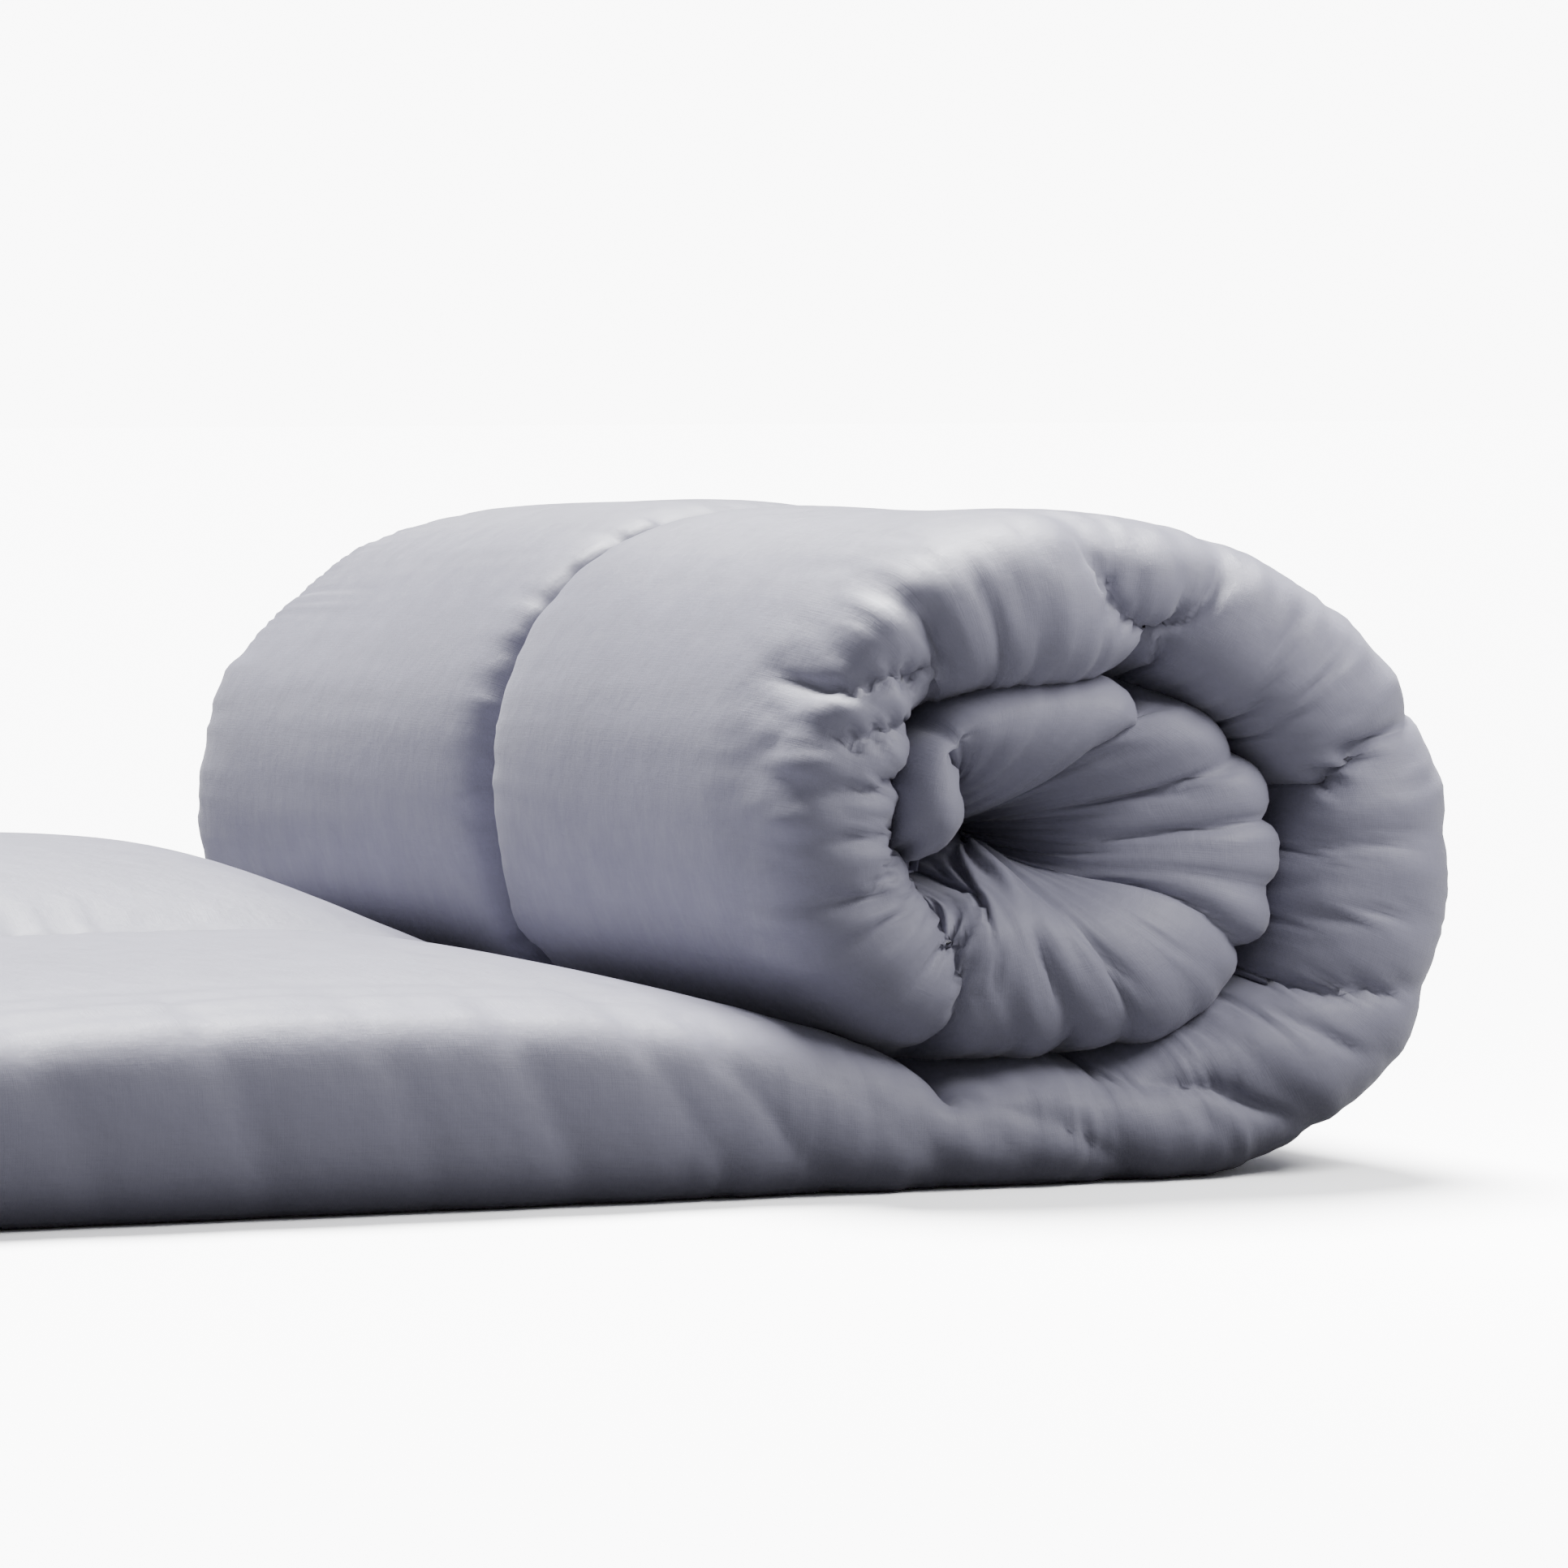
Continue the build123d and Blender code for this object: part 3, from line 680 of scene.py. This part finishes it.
def sheet_object(name, surface, s, w):
    """One sheet of cloth over a grid of points."""
    return add_object(name, surface, grid_faces(len(s), len(w)), flat_cloth(s, w))


def closed_object(name, top, bottom, s, w):
    """A closed piece between two grids of points of the same size."""
    rows, cols = top.shape[:2]
    ring = np.concatenate([top, bottom[:, ::-1]], axis=1)
    around = 2 * cols
    index = np.arange(rows * around).reshape(rows, around)
    after = np.roll(index, -1, axis=1)
    quads = np.stack([index[:-1], index[1:], after[1:], after[:-1]], axis=-1).reshape(-1, 4)
    ends = []
    for row in (index[0], index[-1][::-1]):
        low = np.arange(cols - 1)
        cap = [row[low], row[low + 1], row[around - 2 - low], row[around - 1 - low]]
        ends.append(np.stack(cap, axis=-1))
    uv = flat_cloth(s, np.concatenate([w, w[::-1]]))
    return add_object(name, ring, np.concatenate([quads] + ends), uv)


def read_grid(surface, s, w, s_at, w_at):
    """Points of the surface at each s_at and w_at, which are arrays of the same shape."""
    row = np.interp(s_at, s, np.arange(len(s)))
    col = np.interp(w_at, w, np.arange(len(w)))
    low_row = np.clip(row.astype(int), 0, len(s) - 2)
    low_col = np.clip(col.astype(int), 0, len(w) - 2)
    a, b = (row - low_row)[..., None], (col - low_col)[..., None]
    near = surface[low_row, low_col] * (1 - b) + surface[low_row, low_col + 1] * b
    far = surface[low_row + 1, low_col] * (1 - b) + surface[low_row + 1, low_col + 1] * b
    return near * (1 - a) + far * a


def ribbon(name, surface, s, w, s_at, w_at):
    """A hem: a flat band of folded cloth laid over one edge of the face panel."""
    s_at, w_at = np.meshgrid(s_at, w_at, indexing="ij")
    middle = read_grid(surface, s, w, s_at, w_at)
    normal = read_grid(grid_normals(surface), s, w, s_at, w_at)
    top = middle + HEM_RAISE * normal
    bottom = middle - HEM_RAISE * normal
    return closed_object(name, top, bottom, s_at[:, 0], w_at[0])


def stitches(route, normal, lift):
    """Points and faces of a row of stitches, one every STITCH along a route of points."""
    steps = np.linalg.norm(np.diff(route, axis=0), axis=1)
    run = np.concatenate([[0], np.cumsum(steps)])
    count = int(run[-1] / STITCH)
    starts = (np.arange(count) + 0.5) * STITCH
    # along one stitch: where its rings are, how wide they are, how far they stand out
    along = np.array([0.0, 0.15, 0.5, 0.85, 1.0]) * STITCH_LENGTH
    width = np.array([0.3, 0.9, 1.0, 0.9, 0.3]) * THREAD_RADIUS
    stand = np.array([-0.9, 0.2, 0.5, 0.2, -0.9]) * THREAD_RADIUS + lift
    at = starts[:, None] + along[None, :]
    middle = np.stack([np.interp(at, run, route[:, k]) for k in range(3)], axis=2)
    out = np.stack([np.interp(at, run, normal[:, k]) for k in range(3)], axis=2)
    forward = np.gradient(middle, axis=1)
    forward /= np.linalg.norm(forward, axis=2, keepdims=True)
    across = np.cross(forward, out)
    middle = middle + out * stand[None, :, None]
    sides = 4
    points = []
    for k in range(sides):
        angle = 2 * math.pi * (k + 0.5) / sides
        spoke = math.cos(angle) * across + math.sin(angle) * out
        points.append(middle + spoke * width[None, :, None])
    points = np.stack(points, axis=2)
    rings = len(along)
    index = np.arange(count * rings * sides).reshape(count, rings, sides)
    after = np.roll(index, -1, axis=2)
    walls = np.stack([index[:, :-1], after[:, :-1], after[:, 1:], index[:, 1:]], axis=-1)
    ends = np.concatenate([index[:, 0, ::-1], index[:, -1]])
    return points.reshape(-1, 3), np.concatenate([walls.reshape(-1, 4), ends])


def stitch_object(name, rows):
    """One object that holds several rows of stitches."""
    points, faces, start = [], [], 0
    for row_points, row_faces in rows:
        points.append(row_points)
        faces.append(row_faces + start)
        start += len(row_points)
    return add_object(name, np.concatenate(points), np.concatenate(faces))


def seam_rows(surface, s, w, s_at, w_at, lifts):
    """Rows of stitches along one line of the cloth, one row for each height above it."""
    s_at, w_at = np.broadcast_arrays(np.asarray(s_at, float), np.asarray(w_at, float))
    route = read_grid(surface, s, w, s_at, w_at)
    normal = read_grid(grid_normals(surface), s, w, s_at, w_at)
    return [stitches(route, normal * np.sign(lift), abs(lift)) for lift in lifts]


# ---------------------------------------------------------------- materials
CLOTH_COLOUR = (0.223, 0.219, 0.283)
WEAVE_SCALE = 900.0     # makes yarns of 0.35 mm


class Shader:
    """A Principled material, with short ways to add nodes to it."""

    def __init__(self, name, colour, roughness, sheen=0.0, specular=0.5):
        self.material = bpy.data.materials.new(name)
        self.material.use_nodes = True
        self.nodes = self.material.node_tree.nodes
        self.links = self.material.node_tree.links
        self.main = self.nodes["Principled BSDF"]
        self.main.inputs["Base Color"].default_value = (*colour, 1)
        self.main.inputs["Roughness"].default_value = roughness
        self.main.inputs["Sheen Weight"].default_value = sheen
        self.main.inputs["Sheen Roughness"].default_value = 0.45
        self.main.inputs["Specular IOR Level"].default_value = specular

    def node(self, kind, values=(), **settings):
        """A new node; values are (input, number or output to link)."""
        node = self.nodes.new(kind)
        for key, value in settings.items():
            setattr(node, key, value)
        for key, value in values:
            if isinstance(value, bpy.types.NodeSocket):
                self.links.new(value, node.inputs[key])
            else:
                node.inputs[key].default_value = value
        return node

    def noise(self, place, scale, detail=2.0):
        """Smooth noise from 0 to 1 at a place."""
        values = (("Vector", place), ("Scale", scale), ("Detail", detail))
        return self.node("ShaderNodeTexNoise", values).outputs["Fac"]

    def wave(self, place, scale, direction, distortion=0.0):
        """Even bands from 0 to 1 across a direction."""
        values = (("Vector", place), ("Scale", scale), ("Distortion", distortion))
        return self.node("ShaderNodeTexWave", values, bands_direction=direction).outputs["Fac"]

    def object_place(self):
        """The object's own coordinates."""
        return self.node("ShaderNodeTexCoord").outputs["Object"]

    def stretched(self, place, scale):
        """A place scaled by its own number along each axis."""
        return self.node("ShaderNodeMapping", (("Vector", place), ("Scale", scale))).outputs[0]

    def maths(self, operation, first, second):
        """A sum or a product of two numbers or outputs."""
        values = ((0, first), (1, second))
        return self.node("ShaderNodeMath", values, operation=operation).outputs[0]

    def ramp(self, factor, low, high):
        """A number that runs from low to high as the factor runs from 0.3 to 0.7."""
        values = [("Value", factor), ("From Min", 0.3), ("From Max", 0.7)]
        values += [("To Min", low), ("To Max", high)]
        return self.node("ShaderNodeMapRange", values).outputs[0]

    def bump(self, height, distance, under=None):
        """A bump of the given height in metres, over another if there is one."""
        values = [("Height", height), ("Distance", distance), ("Strength", 1.0)]
        if under is not None:
            values.append(("Normal", under))
        return self.node("ShaderNodeBump", values).outputs[0]

    def attach(self, value, socket):
        """Links an output to a socket of the material itself."""
        self.links.new(value, self.main.inputs[socket])

    def shade_colour(self, factor, colour, darker, lighter):
        """Base colour that varies with the factor, darker or lighter by a share."""
        mix = self.node("ShaderNodeMix", ((0, self.ramp(factor, 0.0, 1.0)),), data_type="RGBA")
        mix.inputs[6].default_value = (*tint(colour, -darker), 1)
        mix.inputs[7].default_value = (*tint(colour, lighter), 1)
        self.attach(mix.outputs[2], "Base Color")


def tint(colour, amount):
    """A colour made lighter or darker by a share."""
    return tuple(min(1.0, channel * (1 + amount)) for channel in colour)


def cloth_material(name, colour, roughness=0.42):
    """Brushed microfibre: plain weave, uneven yarns, a soft satin sheen and faint mottling."""
    shader = Shader(name, colour, roughness, sheen=0.18, specular=0.40)
    cloth = shader.node("ShaderNodeUVMap", uv_map="cloth").outputs[0]
    place = shader.object_place()
    mottle = shader.noise(place, 9.0, 4.0)
    warp = shader.noise(shader.stretched(cloth, (1500.0, 45.0, 1.0)), 1.0)
    weft = shader.noise(shader.stretched(cloth, (45.0, 1500.0, 1.0)), 1.0)
    yarns = shader.maths("ADD", warp, weft)
    across = shader.wave(cloth, WEAVE_SCALE, "X")
    along = shader.wave(cloth, WEAVE_SCALE, "Y")
    weave = shader.maths("MULTIPLY", across, along)
    clouds = shader.maths("MULTIPLY", mottle, 0.6)
    shade = shader.maths("ADD", clouds, shader.maths("MULTIPLY", yarns, 0.2))
    shader.shade_colour(shade, colour, 0.07, 0.07)
    rough = shader.ramp(shader.noise(place, 40.0), roughness - 0.05, roughness + 0.05)
    shader.attach(rough, "Roughness")
    soft = shader.bump(shader.noise(place, 55.0, 3.0), 0.0009)
    yarn_bump = shader.bump(yarns, 0.00010, soft)
    shader.attach(shader.bump(weave, 0.00005, yarn_bump), "Normal")
    return shader.material


def fill_material(name):
    """White polyester fibre: matt, with tangled strands."""
    colour = (0.80, 0.80, 0.78)
    shader = Shader(name, colour, 0.9, sheen=0.4, specular=0.2)
    place = shader.object_place()
    strands = shader.noise(shader.stretched(place, (420.0, 60.0, 420.0)), 1.0, 6.0)
    shader.shade_colour(strands, colour, 0.12, 0.08)
    shader.attach(shader.bump(strands, 0.0008), "Normal")
    return shader.material


def thread_material(name, colour):
    """Spun polyester thread: two plies twisted together, slightly glossy."""
    shader = Shader(name, colour, 0.5, sheen=0.2, specular=0.45)
    place = shader.object_place()
    twist = shader.wave(place, 550.0, "DIAGONAL", 2.0)
    shader.shade_colour(twist, colour, 0.18, 0.10)
    shader.attach(shader.bump(twist, 0.00006), "Normal")
    return shader.material


def label_material(name):
    """White satin ribbon, blank, with fine ribs along it."""
    colour = (0.72, 0.72, 0.70)
    shader = Shader(name, colour, 0.38, sheen=0.15, specular=0.5)
    place = shader.object_place()
    ribs = shader.noise(shader.stretched(place, (1800.0, 40.0, 40.0)), 1.0)
    shader.shade_colour(ribs, colour, 0.04, 0.04)
    shader.attach(shader.bump(ribs, 0.00008), "Normal")
    return shader.material


# ---------------------------------------------------------------- floor, lights, camera
AMBIENT = 0.30          # strength of the surround as a light
VISIBLE_WHITE = 9.5     # its strength to the camera


def sun_light(name, towards, strength, softness):
    """An even light from a direction; softness is its width in degrees."""
    data = bpy.data.lights.new(name, "SUN")
    data.energy = strength
    data.angle = math.radians(softness)
    light = linked(name, data)
    light.rotation_mode = "QUATERNION"
    light.rotation_quaternion = Vector(towards).to_track_quat("Z", "Y")


def area_light(name, place, aim, size, power):
    """A square soft light at a place, turned towards aim."""
    data = bpy.data.lights.new(name, "AREA")
    data.size = size
    data.energy = power
    light = linked(name, data)
    light.location = place
    light.rotation_mode = "QUATERNION"
    light.rotation_quaternion = (Vector(place) - Vector(aim)).to_track_quat("Z", "Y")


def make_camera():
    """A long lens from in front of the folded edge, to its left and just above the roll."""
    azimuth, elevation = math.radians(-23.88), math.radians(2.99)
    back = Vector((
        math.sin(azimuth) * math.cos(elevation),
        -math.cos(azimuth) * math.cos(elevation),
        math.sin(elevation),
    ))
    data = bpy.data.cameras.new("camera")
    data.sensor_width = 36.0
    data.lens = 205.0
    data.clip_start = 0.1
    data.clip_end = 50.0
    camera = linked("camera", data)
    camera.location = (ROLL_X - 2.041, FOLD_Y - 4.156, 0.451)
    camera.rotation_mode = "QUATERNION"
    camera.rotation_quaternion = (-back).to_track_quat("-Z", "Y")
    bpy.context.scene.camera = camera


def camera_sees(tree, real, seen, output):
    """Gives the output its real shader, and the seen one to the camera alone."""
    mix = tree.nodes.new("ShaderNodeMixShader")
    tree.links.new(tree.nodes.new("ShaderNodeLightPath").outputs["Is Camera Ray"], mix.inputs[0])
    tree.links.new(real.outputs[0], mix.inputs[1])
    tree.links.new(seen.outputs[0], mix.inputs[2])
    tree.links.new(mix.outputs[0], tree.nodes[output].inputs["Surface"])


def make_stage():
    """A plain pale floor and an even pale surround, whiter to the camera than as lights."""
    mesh = bpy.data.meshes.new("floor")
    mesh.from_pydata([(-30, -30, 0), (30, -30, 0), (30, 30, 0), (-30, 30, 0)], [], [(0, 1, 2, 3)])
    floor = linked("floor", mesh)
    material = bpy.data.materials.new("floor_pale")
    material.use_nodes = True
    real = material.node_tree.nodes["Principled BSDF"]
    real.inputs["Base Color"].default_value = (0.12, 0.12, 0.125, 1)
    real.inputs["Roughness"].default_value = 0.9
    pale = material.node_tree.nodes.new("ShaderNodeBsdfDiffuse")
    pale.inputs["Color"].default_value = (2.0, 2.0, 2.0, 1)
    camera_sees(material.node_tree, real, pale, "Material Output")
    mesh.materials.append(material)
    world = bpy.data.worlds.new("surround")
    world.use_nodes = True
    dim = world.node_tree.nodes["Background"]
    dim.inputs["Color"].default_value = (0.93, 0.94, 1.0, 1)
    dim.inputs["Strength"].default_value = AMBIENT
    pale = world.node_tree.nodes.new("ShaderNodeBackground")
    pale.inputs["Color"].default_value = (1, 1, 1, 1)
    pale.inputs["Strength"].default_value = VISIBLE_WHITE
    camera_sees(world.node_tree, dim, pale, "World Output")
    bpy.context.scene.world = world


# ---------------------------------------------------------------- the pieces
def inside_fill(name, face, back, s, w, start, end):
    """The fill of one channel, clear of both panels, from w = start to w = end."""
    rows = np.where((s > FILL_CLEAR_OF_END) & (s < CUT_LENGTH - FILL_CLEAR_OF_END))[0][::2]
    cols = np.where((w > start + FILL_CLEAR_OF_SEAM) & (w < end - FILL_CLEAR_OF_SEAM))[0]
    outer, inner = face[np.ix_(rows, cols)], back[np.ix_(rows, cols)]
    gap = np.maximum(np.linalg.norm(outer - inner, axis=2, keepdims=True), 1e-6)
    clear = np.minimum(FILL_CLEAR / gap, FILL_CLEAR_MOST)
    top = outer + (inner - outer) * clear
    bottom = inner + (outer - inner) * clear * FILL_CLEAR_BACK
    piece = closed_object(name, top, bottom, s[rows], w[cols])
    return piece


def care_label(name, face, s):
    """A blank folded ribbon that hangs from the upper side hem."""
    low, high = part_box("care_label")
    hem_edge = face[:, 0]
    lying = s < LABEL_BEFORE
    middle_x = (low[0] + high[0]) / 2
    top = [np.interp(middle_x, hem_edge[lying, 0], hem_edge[lying, k]) for k in range(3)]
    width, length = high[0] - low[0], high[2] - low[2]
    side, down = np.meshgrid(np.linspace(-0.5, 0.5, 9), np.linspace(0, 1, 15))
    turned = LABEL_CURL * down
    out = length * (1 - np.cos(turned)) / LABEL_CURL + LABEL_RIPPLE * down * np.cos(3 * side)
    drop = length * np.sin(turned) / LABEL_CURL
    front = np.stack([top[0] + width * side, top[1] + HEM_RAISE + out, top[2] - drop], axis=2)
    rear = front - LABEL_THICKNESS * np.stack([0 * side, np.cos(turned), np.sin(turned)], axis=2)
    return closed_object(name, front, rear, length * down[:, 0], width * side[0])


def make_duvet():
    """Every piece of the duvet, each with its finish and in place of its CAD node."""
    s, w = cloth_grid()
    strip = Strip(s)
    face = crease_fold(settle_filling(face_surface(strip, w), strip), strip, w)
    face = hollow_fold(face, strip, w)
    face = gather_cloth(face, s, w, held_points(s, w))
    face = ruffle(face, strip, w, held_points(s, w))
    back = hollow_fold(settle_filling(back_surface(strip, w), strip), strip, w)
    back[:, :, 2] = np.maximum(back[:, :, 2], HEM_RAISE)

    face_cloth = cloth_material("face_microfibre", CLOTH_COLOUR)
    back_cloth = cloth_material("back_microfibre", tint(CLOTH_COLOUR, 0.05))
    hem_cloth = cloth_material("hem_microfibre", tint(CLOTH_COLOUR, -0.03))
    fibre = fill_material("polyester_fibre")
    thread = thread_material("sewing_thread", tint(CLOTH_COLOUR, -0.10))
    ribbon_satin = label_material("label_satin")

    def finish(piece, slot, material, *nodes):
        piece.data.materials.append(material)
        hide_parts(*nodes)

    face_panel = sheet_object("face_panel_cloth", face, s, w)
    finish(face_panel, "face_fabric", face_cloth, "face_fabric_panel")
    rows = np.arange(0, len(s), 2)
    back_panel = sheet_object("back_panel_cloth", back[rows], s[rows], w)
    finish(back_panel, "back_fabric", back_cloth, "back_fabric_panel")

    channels = {
        "fill_middle_channel": (-QUILT_SEAM, QUILT_SEAM),
        "fill_outer_side_channel": (QUILT_SEAM, HALF_WIDTH - HEM),
        "fill_inner_side_channel": (HEM - HALF_WIDTH, -QUILT_SEAM),
    }
    for node, (start, end) in channels.items():
        piece = inside_fill(node + "_fibre", face, back, s, w, start, end)
        finish(piece, "fill", fibre, node)

    hem_part = np.linspace(0, HEM, HEM_LINES)
    hem_faces = (HEM_RAISE, -HEM_RAISE)
    full_length = s[(s > HEM) & (s < CUT_LENGTH - HEM)]
    topstitching = []
    for half_name, half in (("outer", 1), ("inner", -1)):
        edge = np.sort(half * (HALF_WIDTH - hem_part))
        hem = ribbon(f"side_hem_{half_name}_ribbon", face, s, w, full_length, edge)
        finish(hem, "hem", hem_cloth, f"side_hem_{half_name}_half")
        seam = seam_rows(face, s, w, s, half * QUILT_SEAM, (THREAD_LIFT,))
        seam += seam_rows(back, s, w, s, half * QUILT_SEAM, (THREAD_LIFT,))
        quilting = stitch_object(f"quilting_stitches_{half_name}_half", seam)
        finish(quilting, "thread", thread, f"quilting_thread_{half_name}_half")
        for row in (1, 2):
            at = half * (HALF_WIDTH - row * HEM / 3)
            topstitching += seam_rows(face, s, w, s, at, hem_faces)
    finish(stitch_object("side_hem_stitches", topstitching), "thread", thread, "side_hem_topstitching")

    end_stitching = []
    for end_name, end, inward in (("foot", 0.0, 1), ("head", CUT_LENGTH, -1)):
        hem = ribbon(f"{end_name}_end_hem_ribbon", face, s, w, np.sort(end + inward * hem_part), w)
        finish(hem, "hem", hem_cloth, f"{end_name}_end_hem")
        for row in (1, 2):
            at = end + inward * row * HEM / 3
            end_stitching += seam_rows(face, s, w, at, w, hem_faces)
    finish(stitch_object("end_hem_stitches", end_stitching), "thread", thread, "end_hem_topstitching")
    finish(care_label("care_label_ribbon", face, s), "label", ribbon_satin, "care_label")


make_duvet()
make_camera()
make_stage()
sun_light("key", (0.08, 0.55, 1.0), 17.0, 30)
area_light("fill", (ROLL_X + 0.45, FOLD_Y - 0.45, 0.85), (ROLL_X, FOLD_Y, 0.17), 0.5, 11.5)
